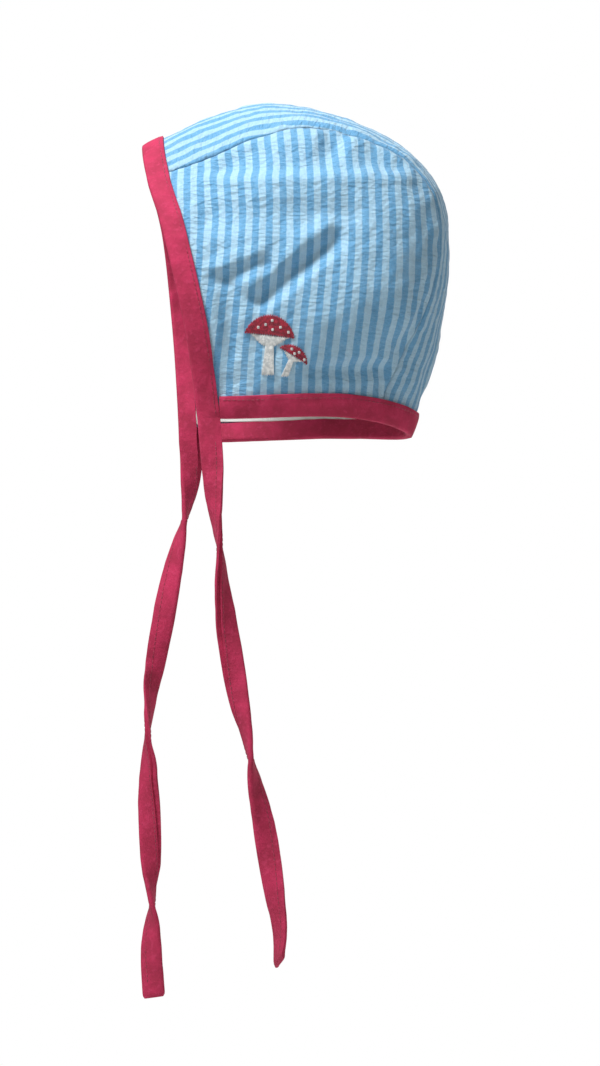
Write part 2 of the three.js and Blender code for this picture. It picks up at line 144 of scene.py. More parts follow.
# Routes of the ties, repeated from the solids: x, y, z and turn of the tape in degrees
LEFT_TIE = np.array([
    (-31.2, -46.0, -190, 6),
    (-29.8, -46.0, -210, 36),
    (-28.3, -45.6, -226, 62),
    (-26.7, -45.0, -243, 90),
    (-25.4, -44.4, -262, 118),
    (-23.0, -44.0, -282, 146),
    (-19.2, -43.6, -308, 180),
    (-15.8, -43.4, -328, 212),
    (-12.1, -43.2, -345, 246),
    (-9.8, -43.0, -357, 272),
    (-7.8, -42.8, -370, 298),
    (-3.8, -42.6, -388, 326),
    (0.0, -42.4, -410, 360),
    (3.5, -42.2, -432, 392),
    (5.9, -42.0, -450, 416),
    (5.5, -42.0, -466, 428),
])
RIGHT_TIE = np.array([
    (-44.5, 46.0, -193, -6),
    (-45.3, 46.0, -210, -45),
    (-48.2, 45.6, -226, -88),
    (-51.8, 45.0, -242, -122),
    (-56.1, 44.4, -262, -150),
    (-60.3, 44.0, -284, -180),
    (-64.3, 43.6, -305, -206),
    (-67.5, 43.4, -325, -236),
    (-68.8, 43.2, -345, -270),
    (-68.7, 43.0, -360, -300),
    (-68.5, 42.8, -378, -330),
    (-67.5, 42.6, -400, -360),
    (-66.8, 42.4, -420, -394),
    (-66.3, 42.2, -439, -446),
    (-66.3, 42.0, -455, -488),
    (-66.3, 42.0, -472, -516),
    (-65.2, 42.0, -493.5, -540),
])

STRIPE_PITCH = 7.4
# The stripes of the sides lean forward towards the hem, between these depths below the crown
STRIPE_DRIFT = 7.0
DRIFT_HEIGHTS = (70, 165)
STITCH_PITCH, STITCH_LENGTH, STITCH_RADIUS = 2.6, 2.0, 0.24
STITCH_INSET = 2.0
THREAD_RADIUS = 0.3


# Reading tables and smooth steps
def unit(vectors):
    return vectors / np.linalg.norm(vectors, axis=-1, keepdims=True)


def run_along(points):
    """Length along a line of points, up to each of them."""
    return np.concatenate([[0], np.cumsum(np.linalg.norm(np.diff(points, axis=0), axis=1))])


def smoothstep(x, low, high):
    t = np.clip((x - low) / (high - low), 0, 1)
    return t * t * (3 - 2 * t)


def mix(a, b, t):
    return a + (b - a) * t


def read_table(keys, values, at):
    """Values at the given places, on a smooth curve through the rows of a table."""
    last = len(keys) - 1
    index = np.arange(last + 1)
    before, after = np.maximum(index - 1, 0), np.minimum(index + 1, last)
    slopes = (values[after] - values[before]) / (keys[after] - keys[before])
    i = np.clip(np.searchsorted(keys, at, side="right") - 1, 0, last - 1)
    span = keys[i + 1] - keys[i]
    t = np.clip((at - keys[i]) / span, 0, 1)
    curve = mix(values[i], values[i + 1], t * t * (3 - 2 * t))
    return curve + span * (slopes[i] * t * (1 - t) ** 2 - slopes[i + 1] * t * t * (1 - t))


def rib(angle, column):
    return read_table(RIBS[:, 0], RIBS[:, RIB_COLUMNS.index(column)], angle)


def seam_reach(angle):
    return rib(angle, "crown") - rib(angle, "drop")


def arch_reach(angle, reach):
    """Distance of the centre panel, which arches from seam to seam, from the line of the jaw corners."""
    return rib(angle, "crown") - rib(angle, "drop") * reach ** 2


def edge_angle(edge, across):
    return read_table(edge[:, 0], edge[:, 1], np.abs(across))


def soft_noise(points, size, seed):
    """Smooth noise from -1 to 1, with lumps of about the given size."""
    scaled = points / size
    cell = np.floor(scaled).astype(np.int64)
    part = scaled - cell
    part = part * part * (3 - 2 * part)
    total = np.zeros(len(points))
    for corner in np.ndindex(2, 2, 2):
        mixed = ((cell + corner) @ NOISE_STEPS + seed * NOISE_SEED) & NOISE_MASK
        mixed = ((mixed ^ (mixed >> 13)) * NOISE_MIX) & NOISE_MASK
        weight = np.prod(np.where(corner, part, 1 - part), axis=1)
        total += weight * (((mixed ^ (mixed >> 16)) & 0xFFFF) / 32767.5 - 1)
    return total


# The shape of the cloth
def smooth_cloth(angle, across):
    """The cloth before any folds.

    across is -2 at the left jaw, -1 and 1 at the seams, and 2 at the right jaw.
    """
    reach = np.abs(across)
    share = np.clip(2 - reach, 0, 1)
    seam, belly = rib(angle, "seam"), rib(angle, "belly")
    cheek = np.sin(math.pi / 2 * np.minimum(share / BELLY_SHARE, 1)) ** CHEEK_POWER
    turn = np.clip((share - BELLY_SHARE) / (1 - BELLY_SHARE), 0, 1) ** rib(angle, "shoulder")
    side_y = np.where(share <= BELLY_SHARE, mix(JAW_HALF, belly, cheek), mix(belly, seam, turn))
    middle = reach <= 1
    away = np.where(middle, arch_reach(angle, reach), seam_reach(angle) * (2 - reach))
    y = np.where(middle, seam * across, np.sign(across) * side_y)
    x = JAW_X + away * np.sin(np.radians(angle))
    z = JAW_Z + away * np.cos(np.radians(angle))
    lean = (np.maximum(0, SWAY_START - z) / SWAY_HEIGHT) ** SWAY_POWER * (y / JAW_HALF)
    return np.stack([x - SWAY_FORWARD * lean, y, z - SWAY_DOWN * lean], axis=-1)


def cloth_normal(angle, across):
    """Outward normals of the smooth cloth, taken a step clear of seams and jaws."""
    turn, step = 0.5, 0.02
    reach = np.abs(across)
    inside = np.where(reach <= 1, np.minimum(reach, 1 - step), np.clip(reach, 1 + step, 2 - step))
    kept = np.sign(across) * inside
    along_edge = smooth_cloth(angle + turn, kept) - smooth_cloth(angle - turn, kept)
    along_rib = smooth_cloth(angle, kept + step) - smooth_cloth(angle, kept - step)
    return unit(np.cross(along_edge, along_rib))


def ridge(distance, half):
    return np.maximum(0, 1 - (distance / half) ** 2) ** 2


def freedom(angle, across):
    """How free the cloth is to fold, and to crinkle: each 0 under the bindings and 1 further in."""
    away = seam_reach(angle) * np.clip(2 - np.abs(across), 0, 1)
    from_face = away * np.sin(np.radians(np.clip(angle - edge_angle(FACE_EDGE, across), 0, 90)))
    from_neck = away * np.sin(np.radians(np.clip(edge_angle(NECK_EDGE, across) - angle, 0, 90)))
    nearest = np.minimum(from_face, from_neck)
    return smoothstep(nearest, TAPE, 2 * TAPE), smoothstep(nearest, *CRINKLE_START)


def side_folds(angle, across, point):
    from_seam = seam_reach(angle) * (np.abs(across) - 1)
    free = freedom(angle, across)[0] * smoothstep(from_seam, 0, FOLD_RISE)
    lift = np.zeros_like(angle)
    x, z = point[..., 0], point[..., 2]
    for x0, z0, x1, z1, half, height in SIDE_FOLDS:
        dx, dz = x1 - x0, z1 - z0
        t = np.clip(((x - x0) * dx + (z - z0) * dz) / (dx * dx + dz * dz), 0, 1)
        lift += FOLD_GAIN * free * height * ridge(np.hypot(x - x0 - t * dx, z - z0 - t * dz), half)
    fade = smoothstep(from_seam, 0, GATHER_RISE) * (1 - smoothstep(from_seam, *GATHER_FADE))
    for middle, spread, height in GATHERS:
        lift += fade * height * ridge(angle - middle, 2 * spread)
    return lift


def centre_folds(angle, across):
    reach = np.abs(across)
    roll = ROLL_HEIGHT * ridge(reach - ROLL_ACROSS, ROLL_WIDTH) * ridge(angle - ROLL_ANGLE, ROLL_SPREAD)
    nape = NAPE_HEIGHT * np.cos(math.pi * NAPE_WAVES * across) ** 2 * (1 - across ** 2)
    return roll + nape * smoothstep(angle, *NAPE_START) * (1 - smoothstep(angle, *NAPE_END))


def crinkle(angle, across, point):
    """Small puckers of the crinkled weave, and the groove that the seam pulls."""
    held = freedom(angle, across)[1]
    reach = np.abs(across)
    from_seam = np.abs(reach - 1) * np.where(reach < 1, rib(angle, "seam"), seam_reach(angle))
    flat = point.reshape(-1, 3)
    lumps = sum(height * soft_noise(flat * (1, 1, squeeze), size, seed)
                for height, size, seed, squeeze in CRINKLES)
    by_seam = (1 - smoothstep(from_seam, *PUCKER_FADE)).ravel()
    puckers = PUCKER_HEIGHT * soft_noise(flat, PUCKER_SIZE, PUCKER_SEED) * by_seam
    groove = GROOVE_DEPTH * held * (1 - smoothstep(from_seam, *GROOVE_FADE))
    return held * (lumps + puckers).reshape(angle.shape) - groove


def cloth(angle, across):
    point = smooth_cloth(angle, across)
    lift = np.where(np.abs(across) <= 1, centre_folds(angle, across), side_folds(angle, across, point))
    lift = lift + crinkle(angle, across, point)
    return point + cloth_normal(angle, across) * lift[..., None]


def in_from_edge(edge, inward, across, inset, height):
    """A point at a distance in from a bound edge, at a height over the cloth."""
    angle = edge_angle(edge, across)
    reach = np.abs(across)
    share = np.clip(2 - reach, 0, 1)
    middle = reach < 1
    along = np.where(middle, arch_reach(angle, reach), share * seam_reach(angle))
    turned = angle + inward * np.degrees(np.arctan2(inset, along))
    square = np.hypot(along, inset) / seam_reach(turned)
    kept = mix(square, share, smoothstep(share, 0.3, 1))
    place = np.where(middle, across, np.sign(across) * (2 - kept))
    return smooth_cloth(turned, place) + cloth_normal(turned, place) * height[..., None]


# Making meshes
def new_mesh(name, points, faces, material):
    mesh = bpy.data.meshes.new(name)
    mesh.from_pydata((np.asarray(points).reshape(-1, 3) * MM).tolist(), [], faces)
    mesh.materials.append(material)
    piece = bpy.data.objects.new(name, mesh)
    bpy.context.collection.objects.link(piece)
    mesh.shade_smooth()
    return piece


def grid_faces(rows, columns, closed=False):
    across = columns if closed else columns - 1
    i, j = np.meshgrid(np.arange(rows - 1), np.arange(across), indexing="ij")
    k = (j + 1) % columns
    near, far = i * columns, (i + 1) * columns
    quads = np.stack([near + j, far + j, far + k, near + k], axis=-1)
    return quads.reshape(-1, 4)


def select_only(piece):
    bpy.ops.object.select_all(action="DESELECT")
    piece.select_set(True)
    bpy.context.view_layer.objects.active = piece


def thicken(piece, thickness):
    select_only(piece)
    solidify = piece.modifiers.new("thickness", "SOLIDIFY")
    solidify.thickness = thickness * MM
    solidify.offset = -1
    bpy.ops.object.modifier_apply(modifier=solidify.name)


def outward_faces(points, faces, normals):
    """Faces turned so that they look along the given normals."""
    p = points.reshape(-1, 3)
    face = faces[len(faces) // 2]
    a, b, c = (p[k] for k in face[:3])
    looks_out = np.dot(np.cross(b - a, c - a), normals.reshape(-1, 3)[face[0]]) > 0
    return faces if looks_out else faces[:, ::-1]


def side_map(angle, across):
    """Where each point of a side panel lies on the flat cloth, unrolled from its belly to the seam."""
    point = smooth_cloth(angle, across)
    share = 2 - np.abs(across)
    away = seam_reach(angle) * share
    outward = np.abs(np.diff(away, axis=0))
    extra = np.hypot(outward, np.diff(point[..., 1], axis=0)) - outward
    extra = np.cumsum(np.where(share[1:] > BELLY_SHARE, extra, 0), axis=0)
    extra = np.concatenate([np.zeros((1, angle.shape[1])), extra])
    turn = np.radians(angle)
    drift = STRIPE_DRIFT * smoothstep(-point[..., 2], *DRIFT_HEIGHTS)
    x = point[..., 0] + extra * np.sin(turn) + drift
    z = point[..., 2] + extra * np.cos(turn)
    return np.stack([x, z], axis=-1)


def centre_map(angle, across):
    """Where each point of the centre panel lies on the flat cloth, along an arch and the crown line."""
    seam = rib(angle, "seam")
    slope = np.abs(2 * rib(angle, "drop") * across / seam) + 1e-6
    arch = seam * across / 2 * (np.sqrt(1 + slope ** 2) + np.arcsinh(slope) / slope)
    crown = smooth_cloth(angle[len(angle) // 2], across[len(across) // 2])
    return np.stack([arch, np.broadcast_to(run_along(crown), arch.shape)], axis=-1)


def lay_on_cloth(piece, places):
    """A UV map in millimetres of the flat cloth."""
    mesh = piece.data
    layer = mesh.uv_layers.new(name="cloth")
    corner = np.empty(len(mesh.loops), dtype=np.int32)
    mesh.loops.foreach_get("vertex_index", corner)
    layer.uv.foreach_set("vector", places.reshape(-1, 2)[corner].ravel())


def cloth_grid(lines, steps, inset):
    """Angles and places of a cloth grid between the face edge and the neck edge.

    Each line gives its place across the bonnet at an angle.
    """
    angles, places = [], []
    for line in lines:
        ends = []
        for edge, inward in ((FACE_EDGE, 1), (NECK_EDGE, -1)):
            across = line(edge[-1, 1])
            angle = edge_angle(edge, across)
            away = seam_reach(angle) * min(1, 2 - abs(across))
            ends.append(angle + inward * math.degrees(math.asin(inset / away)))
        row = np.linspace(ends[0], ends[1], steps + 1)
        angles.append(row)
        places.append(np.array([line(a) for a in row]))
    return np.array(angles), np.array(places)


def side_line(side, place, start):
    return lambda angle: side * (1 + place * (1 - start / seam_reach(angle)))


def centre_line(across):
    return lambda angle: across


def striped_panel(name, lines, steps, flat_map):
    angle, across = cloth_grid(lines, steps, EDGE_INSET)
    points = cloth(angle, across)
    normals = cloth_normal(angle, across)
    faces = outward_faces(points, grid_faces(*angle.shape), normals)
    piece = new_mesh(name, points, faces.tolist(), STRIPED)
    lay_on_cloth(piece, flat_map(angle, across))
    thicken(piece, SHEET_THICKNESS)
    return piece, points, normals


# Materials
class Value:
    """A number on a socket: Python operators add the Math nodes."""

    def __init__(self, shader, socket):
        self.shader, self.socket = shader, socket

    def math(self, operation, *others):
        numbers = dict(enumerate((self, *others)))
        return self.shader.node("ShaderNodeMath", {"operation": operation}, numbers)

    def __add__(self, other):
        return self.math("ADD", other)

    __radd__ = __add__

    def __mul__(self, other):
        return self.math("MULTIPLY", other)

    __rmul__ = __mul__

    def __sub__(self, other):
        return self.math("SUBTRACT", other)

    def __rsub__(self, other):
        return self * -1 + other

    def __truediv__(self, other):
        return self.math("DIVIDE", other)

    def fraction(self):
        return self.math("FRACT")

    def size(self):
        return self.math("ABSOLUTE")

    def sine(self):
        return self.math("SINE")

    def between(self, low, high):
        """A smooth step from 0 at the low value to 1 at the high one."""
        inputs = {"Value": self, "From Min": low, "From Max": high}
        return self.shader.node("ShaderNodeMapRange", {"interpolation_type": "SMOOTHSTEP"}, inputs)


class Shader:
    """A node material with one principled surface."""

    def __init__(self, name):
        self.material = bpy.data.materials.new(name)
        self.material.use_nodes = True
        self.tree = self.material.node_tree
        self.surface = self.tree.nodes["Principled BSDF"]

    def feed(self, plug, value):
        if isinstance(value, Value):
            value = value.socket
        if isinstance(value, bpy.types.NodeSocket):
            self.tree.links.new(value, plug)
        else:
            plug.default_value = value

    def node(self, kind, settings, inputs, output=0):
        """A new node of a kind with its settings and the values or links of its sockets."""
        node = self.tree.nodes.new(kind)
        for name, value in settings.items():
            setattr(node, name, value)
        for name, value in inputs.items():
            self.feed(node.inputs[name], value)
        return Value(self, node.outputs[output])

    def blend(self, factor, first, second):
        """A colour between two colours."""
        return self.node("ShaderNodeMix", {"data_type": "RGBA"}, {0: factor, 6: first, 7: second}, 2)

    def noise(self, vector, scale, detail=2.0):
        return self.node("ShaderNodeTexNoise", {}, {"Vector": vector, "Scale": scale, "Detail": detail})

    def place(self, output):
        return self.node("ShaderNodeTexCoord", {}, {}, output)

    def squeezed(self, vector, scale):
        return self.node("ShaderNodeMapping", {}, {"Vector": vector, "Scale": scale})

    def bumped(self, layers):
        """Bump layers, each a height, a strength and a distance in metres, on one normal."""
        normal = None
        for height, strength, distance in layers:
            inputs = {"Height": height, "Strength": strength, "Distance": distance}
            if normal is not None:
                inputs["Normal"] = normal
            normal = self.node("ShaderNodeBump", {}, inputs)
        self.feed(self.surface.inputs["Normal"], normal)

    def finish(self, **inputs):
        for name, value in inputs.items():
            self.feed(self.surface.inputs[name.replace("_", " ")], value)
        return self.material


BLUE = (0.122, 0.352, 0.60, 1)
PALE = (0.37, 0.585, 0.745, 1)
PALE_SLUB = (0.52, 0.71, 0.83, 1)
DEEP_BLUE = (0.075, 0.25, 0.48, 1)
RASPBERRY = (0.50, 0.02, 0.085, 1)
RASPBERRY_DARK = (0.36, 0.013, 0.055, 1)
RASPBERRY_LIGHT = (0.58, 0.045, 0.13, 1)
OFF_WHITE = (0.74, 0.74, 0.70, 1)
OFF_WHITE_DARK = (0.62, 0.62, 0.60, 1)
FLOOR_LIGHT = (0.9, 0.9, 0.9, 1)
FLOOR_DARK = (0.86, 0.86, 0.86, 1)
WEAVE_PITCH = 1.15
STRIPE_EDGE = (0.42, 0.58)


def weave_height(across, along):
    """Height of a plain weave."""
    turns = 2 * math.pi / WEAVE_PITCH
    warp = (across * turns).sine()
    weft = (along * turns).sine()
    return warp * weft * 0.5 + 0.5


def striped_cotton():
    shader = Shader("striped_cotton")
    flat = shader.place("UV")
    split = shader.node("ShaderNodeSeparateXYZ", {}, {"Vector": flat})
    across, along = split, Value(shader, split.socket.node.outputs[1])
    wander = shader.noise(shader.squeezed(flat, (0.3, 0.06, 1)), 1.0)
    fray = shader.noise(shader.squeezed(flat, (1.6, 0.5, 1)), 1.0, 3)
    turn = ((across + (wander - 0.5) * 0.9 + (fray - 0.5) * 0.9) / STRIPE_PITCH).fraction()
    stripe = ((turn - 0.5).size() * 2).between(*STRIPE_EDGE)
    slub = shader.noise(shader.squeezed(flat, (2.2, 0.25, 1)), 1.0, 4).between(0.45, 0.75)
    weft = shader.noise(shader.squeezed(flat, (0.35, 2.4, 1)), 1.0, 3).between(0.42, 0.8)
    faded = shader.noise(shader.squeezed(flat, (0.05, 0.04, 1)), 1.0, 3)
    blue = shader.blend(slub * 0.55, BLUE, DEEP_BLUE)
    blue = shader.blend(weft * 0.4, blue, PALE)
    pale = shader.blend(slub * 0.6, PALE, PALE_SLUB)
    pale = shader.blend(weft * 0.3, pale, BLUE)
    colour = shader.blend(stripe, pale, blue)
    colour = shader.blend(faded.between(0.5, 0.8) * 0.16, colour, PALE_SLUB)
    weave = weave_height(across, along)
    pucker = shader.noise(shader.squeezed(flat, (0.28, 0.5, 1)), 1.0, 4)
    threads = shader.noise(shader.squeezed(flat, (1.3, 1.3, 1)), 1.0, 3)
    shader.bumped([(pucker, 0.8, 0.0022), (threads, 0.7, 0.0008), (weave, 0.4, 0.0003)])
    return shader.finish(Base_Color=colour, Roughness=fray * 0.15 + 0.8, Sheen_Weight=0.15)


def plain_cotton():
    shader = Shader("lining_cotton")
    here = shader.place("Object")
    cloudy = shader.noise(here, 60.0, 4)
    threads = shader.noise(shader.squeezed(here, (900, 900, 350)), 1.0, 3)
    colour = shader.blend(cloudy * 0.35, OFF_WHITE, OFF_WHITE_DARK)
    shader.bumped([(cloudy, 0.4, 0.002), (threads, 0.35, 0.0004)])
    return shader.finish(Base_Color=colour, Roughness=cloudy * 0.1 + 0.85)


def raspberry_tape():
    shader = Shader("raspberry_binding")
    here = shader.place("Object")
    cloudy = shader.noise(here, 85.0, 4)
    worn = shader.noise(here, 420.0, 3)
    threads = shader.noise(here, 1500.0, 2)
    colour = shader.blend(cloudy.between(0.35, 0.7), RASPBERRY_DARK, RASPBERRY)
    colour = shader.blend(worn.between(0.5, 0.75) * 0.5, colour, RASPBERRY_LIGHT)
    colour = shader.blend(threads.between(0.45, 0.7) * 0.3, colour, RASPBERRY_DARK)
    shader.bumped([(cloudy, 0.35, 0.0018), (worn, 0.45, 0.0006), (threads, 0.4, 0.0003)])
    return shader.finish(Base_Color=colour, Roughness=worn * 0.15 + 0.78)


def thread(name, light, dark):
    shader = Shader(name)
    here = shader.place("Object")
    patch = shader.noise(here, 700.0, 2)
    strands = shader.noise(here, 2600.0, 2)
    colour = shader.blend(patch.between(0.35, 0.65), dark, light)
    shader.bumped([(strands, 0.4, 0.0002)])
    return shader.finish(Base_Color=colour, Roughness=patch * 0.2 + 0.42, Sheen_Weight=0.2)


def pale_floor():
    shader = Shader("studio_floor")
    grain = shader.noise(shader.place("Object"), 40.0, 3)
    colour = shader.blend(grain * 0.1, FLOOR_LIGHT, FLOOR_DARK)
    return shader.finish(Base_Color=colour, Roughness=0.9)


STRIPED = striped_cotton()
PLAIN = plain_cotton()
TAPE_CLOTH = raspberry_tape()
TAPE_THREAD = thread("raspberry_thread", (0.34, 0.02, 0.06, 1), (0.2, 0.01, 0.035, 1))
CAP_THREAD = thread("red_thread", (0.46, 0.02, 0.05, 1), (0.22, 0.01, 0.03, 1))
WHITE_THREAD = thread("white_thread", (0.8, 0.8, 0.78, 1), (0.55, 0.57, 0.57, 1))


# Panels and lining
PANEL_START, LINING_START = 12.9, 13.6
EDGE_INSET = LEAF + GAP
SEAM_SPLIT = 0.0015
# Grid lines from edge to seam or from seam to seam, and steps along them
SIDE_LINES, SIDE_STEPS = 131, 190
CENTRE_LINES, CENTRE_STEPS = 71, 260
LINING_SIDE_LINES, LINING_CENTRE_LINES, LINING_STEPS = 50, 40, 110
# The lining hangs this far inside the centre panel and the sides, with a change at the seams
LINING_SLACK, LINING_CHANGE = (1.2, 5.6), (0.94, 1.06)
LINING_WAVE, LINING_WAVE_SIZE, LINING_WAVE_SEED, LINING_WAVE_TOP = 0.5, 16, 9, 0.2
LINING_INSET = INNER_LEAF - 0.6


def side_panel(side, name):
    lines = [side_line(side, place, PANEL_START) for place in np.linspace(1, SEAM_SPLIT, SIDE_LINES)]
    return striped_panel(name, lines, SIDE_STEPS, side_map)


def centre_panel():
    places = np.linspace(2 * SEAM_SPLIT - 1, 1 - 2 * SEAM_SPLIT, CENTRE_LINES)
    lines = [centre_line(place) for place in places]
    return striped_panel("centre_panel_cloth", lines, CENTRE_STEPS, centre_map)[0]


def lining():
    places = np.linspace(0, 1, LINING_SIDE_LINES)
    lines = [side_line(LEFT, p, LINING_START) for p in places[::-1]]
    lines += [centre_line(a) for a in np.linspace(-1, 1, LINING_CENTRE_LINES)[1:-1]]
    lines += [side_line(RIGHT, p, LINING_START) for p in places]
    angle, across = cloth_grid(lines, LINING_STEPS, LINING_INSET)
    free = freedom(angle, across)[0]
    slack = mix(*LINING_SLACK, smoothstep(np.abs(across), *LINING_CHANGE)) * free
    base = smooth_cloth(angle, across)
    noise = soft_noise(base.reshape(-1, 3), LINING_WAVE_SIZE, LINING_WAVE_SEED)
    waves = free * LINING_WAVE * noise.reshape(angle.shape)
    depth = np.minimum(waves, LINING_WAVE_TOP) - slack - CLOTH - GAP
    normals = cloth_normal(angle, across)
    points = base + normals * depth[..., None]
    faces = outward_faces(points, grid_faces(*angle.shape), normals)
    piece = new_mesh("lining_cloth", points, faces.tolist(), PLAIN)
    thicken(piece, SHEET_THICKNESS)
    return piece


# Bindings: points of the folded tape's section, how its leaves puff up, and where its slot starts
OUTER_POINTS, FOLD_POINTS, INNER_POINTS = 12, 9, 10
PUFF_OUTER, PUFF_INNER, PUFF_POWER = 0.6, 0.17, 0.6
FOLD_ROUND, SLOT_START, SHUT_GAP = 1.0, 1.4, 0.05
# Waves of the tape, as height and size, and how far its places wander beyond the fold
BINDING_WAVES, TIE_WAVES = ((0.32, 11), (0.2, 5)), ((0.45, 11), (0.25, 5))
WANDER, WANDER_SIZE, WANDER_START = 0.3, 13, 1.5
LEAF_MARGIN = 0.2
JAW_FADE = 0.08
SHARP_ANGLE = 55
# Stations along a side and across the middle
BINDING_STATIONS, STITCH_STATIONS = (130, 70), (200, 120)
FACE_SEED, NECK_SEED = 11, 21


def tape_section(slot_share=1.0):
    """Places in from the edge and heights over the cloth, once round the folded tape.

    slot_share is 1 where the tape holds the cloth, and 0 where its leaves lie on each other.
    """
    top, under = GAP + LEAF, -CLOTH - GAP
    bottom = under - LEAF
    middle, half = (top + bottom) / 2, (top - bottom) / 2

    def puff(place):
        return np.sin(math.pi * np.clip(place / TAPE, 0, 1)) ** PUFF_POWER

    out = np.linspace(TAPE, FOLD_ROUND, OUTER_POINTS)
    outer = np.stack([out, top + PUFF_OUTER * puff(out)], axis=1)
    turn = np.linspace(math.pi / 2, 3 * math.pi / 2, FOLD_POINTS)[1:-1]
    fold = np.stack([FOLD_ROUND * (1 + np.cos(turn)), middle + half * np.sin(turn)], axis=1)
    back = np.linspace(FOLD_ROUND, INNER_LEAF, INNER_POINTS)
    inner = np.stack([back, bottom - PUFF_INNER * puff(back)], axis=1)
    places = np.array([INNER_LEAF, TAPE / 2, SLOT_START, SLOT_START, TAPE / 2, TAPE])
    sides = np.array([under, under, under, GAP, GAP, GAP])
    shut = middle + SHUT_GAP * np.sign(sides + CLOTH / 2)
    slot = np.stack([places, mix(shut, sides, slot_share)], axis=1)
    return np.concatenate([outer, fold, inner, slot])


def close_ends(piece):
    select_only(piece)
    bpy.ops.object.mode_set(mode="EDIT")
    bpy.ops.mesh.select_all(action="DESELECT")
    bpy.ops.mesh.select_non_manifold()
    bpy.ops.mesh.edge_face_add()
    bpy.ops.mesh.select_all(action="SELECT")
    bpy.ops.mesh.quads_convert_to_tris()
    bpy.ops.mesh.normals_make_consistent(inside=False)
    bpy.ops.object.mode_set(mode="OBJECT")


def swept_piece(name, rings, material):
    count = rings.shape[1]
    piece = new_mesh(name, rings, grid_faces(len(rings), count, closed=True).tolist(), material)
    close_ends(piece)
    piece.data.set_sharp_from_angle(angle=math.radians(SHARP_ANGLE))
    return piece


def binding_stations(start, side_steps, middle_steps):
    side = np.linspace(2 - start, 1, side_steps)
    middle = np.linspace(-1, 1, middle_steps)[1:-1]
    return np.concatenate([-side, middle, side[::-1]])


def tape_waves(points, waves, seed):
    return sum(height * soft_noise(points, size, seed + k) for k, (height, size) in enumerate(waves))


def binding(name, edge, inward, start, seed):
    """The folded tape round one edge, which lies smooth beside the jaw corners."""
    section = tape_section()
    stations = binding_stations(start, *BINDING_STATIONS)
    across = np.repeat(stations[:, None], len(section), axis=1)
    inset = np.broadcast_to(section[:, 0], across.shape)
    height = np.broadcast_to(section[:, 1], across.shape)
    base = in_from_edge(edge, inward, across, inset, np.zeros_like(across)).reshape(-1, 3)
    fade = smoothstep(2 - np.abs(across), start, start + JAW_FADE)
    waves = fade.ravel() * tape_waves(base, BINDING_WAVES, seed)
    outside = (height > GAP + LEAF_MARGIN) | (height < -CLOTH - GAP - LEAF_MARGIN)
    shift = np.where(outside, np.sign(height + CLOTH / 2) * np.abs(waves.reshape(across.shape)), 0)
    noise = soft_noise(base, WANDER_SIZE, seed + len(BINDING_WAVES)).reshape(across.shape)
    wander = np.where(inset > WANDER_START, WANDER * fade * noise, 0)
    rings = in_from_edge(edge, inward, across, inset - np.abs(wander), height + shift)
    return swept_piece(name, rings, TAPE_CLOTH)


# Where the neck binding starts, just under the tape of the face binding
NECK_OVERLAP = 0.3
NECK_START = (TAPE - NECK_OVERLAP) / float(seam_reach(NECK_EDGE[-1, 1]))


# Ties: lengths over which the slot shuts, the waves rise and the binding's section is carried on
TIE_STEPS = 240
SHUT_LENGTH, WAVE_RISE, CARRY_LENGTH = 14, 10, 12
# How much and over what length a tip thins and narrows, and the length of its slanted cut
TIP_THIN, TIP_THIN_LENGTH = 0.35, 2
TIP_NARROW, TIP_NARROW_LENGTH = 0.16, 1.8
SLANT_LENGTH = 9
LEFT_TIE_SEED, RIGHT_TIE_SEED = 31, 41
LEFT_SLANT, RIGHT_SLANT = -3.2, 0.4


def tie_frame(side, route):
    """Points down a tie's middle, with its width and thickness directions."""
    def corner(inset):
        place = np.array([side * 2.0])
        return in_from_edge(FACE_EDGE, 1, place, np.array([inset]), np.array([-CLOTH / 2]))[0]

    across = unit(corner(TAPE) - corner(0.0))
    start = corner(TAPE / 2)
    rows = np.vstack([[*start, 0.0], route])
    depth = -rows[:, 2]
    steps = np.linspace(depth[0], depth[-1], TIE_STEPS)
    middle = np.stack([read_table(depth, rows[:, k], steps) for k in range(3)], axis=1)
    turn = np.radians(read_table(depth, rows[:, 3], steps))
    along = unit(np.gradient(middle, axis=0))
    width = unit(across - along * (along @ across)[:, None])
    cross = np.cross(along, width)
    turned = width * np.cos(turn)[:, None] + cross * np.sin(turn)[:, None]
    return middle, turned, np.cross(along, turned)


